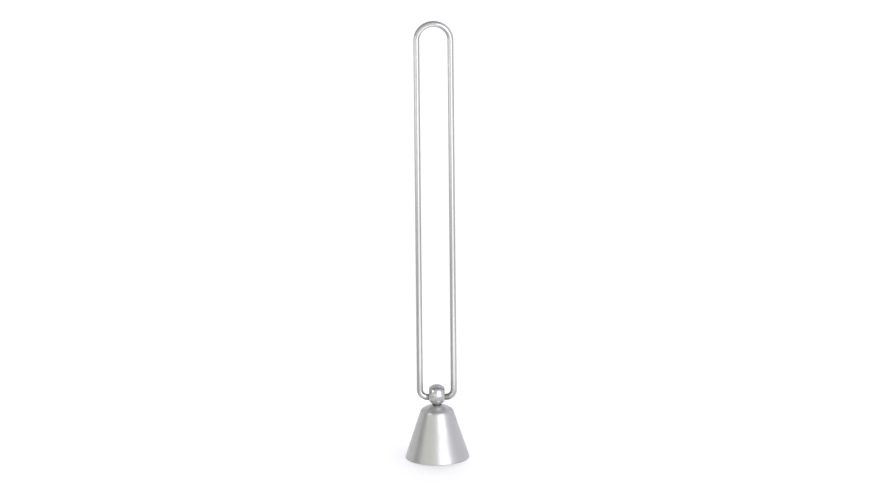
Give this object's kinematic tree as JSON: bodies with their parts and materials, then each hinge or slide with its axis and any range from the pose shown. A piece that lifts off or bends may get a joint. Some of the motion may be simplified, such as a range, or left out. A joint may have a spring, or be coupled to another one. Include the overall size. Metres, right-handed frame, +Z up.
{
  "type": "candle snuffer",
  "caption": "Hollow satin-steel bell with a ball on its crown and a long swinging wire loop handle, used to put out candle flames.",
  "frame": {"origin": "centre of the bell's rim, on the surface that the snuffer stands on", "axes": "+Z up the bell's axis and the upright handle, +X along the handle's lower run, which is the axis that it swings about"},
  "size_m": [0.0362, 0.0362, 0.254],
  "materials": {
    "bell_steel": "satin, brushed round the axis",
    "ball_steel": "satin polished",
    "wire_steel": "satin, brushed along the wire",
    "fastener_steel": "bright"
  },
  "bodies": {
    "bell_assembly": {"bell": "bell_steel", "ball": "ball_steel", "washer": "fastener_steel", "screw": "fastener_steel"},
    "handle": {"handle": "wire_steel"}
  },
  "joints": [
    {"name": "handle_swing", "type": "hinge", "parent": "bell_assembly", "child": "handle", "pos_m": [0, 0, 0.03507], "axis": [1, 0, 0], "range_deg": [-140, 140]}
  ]
}
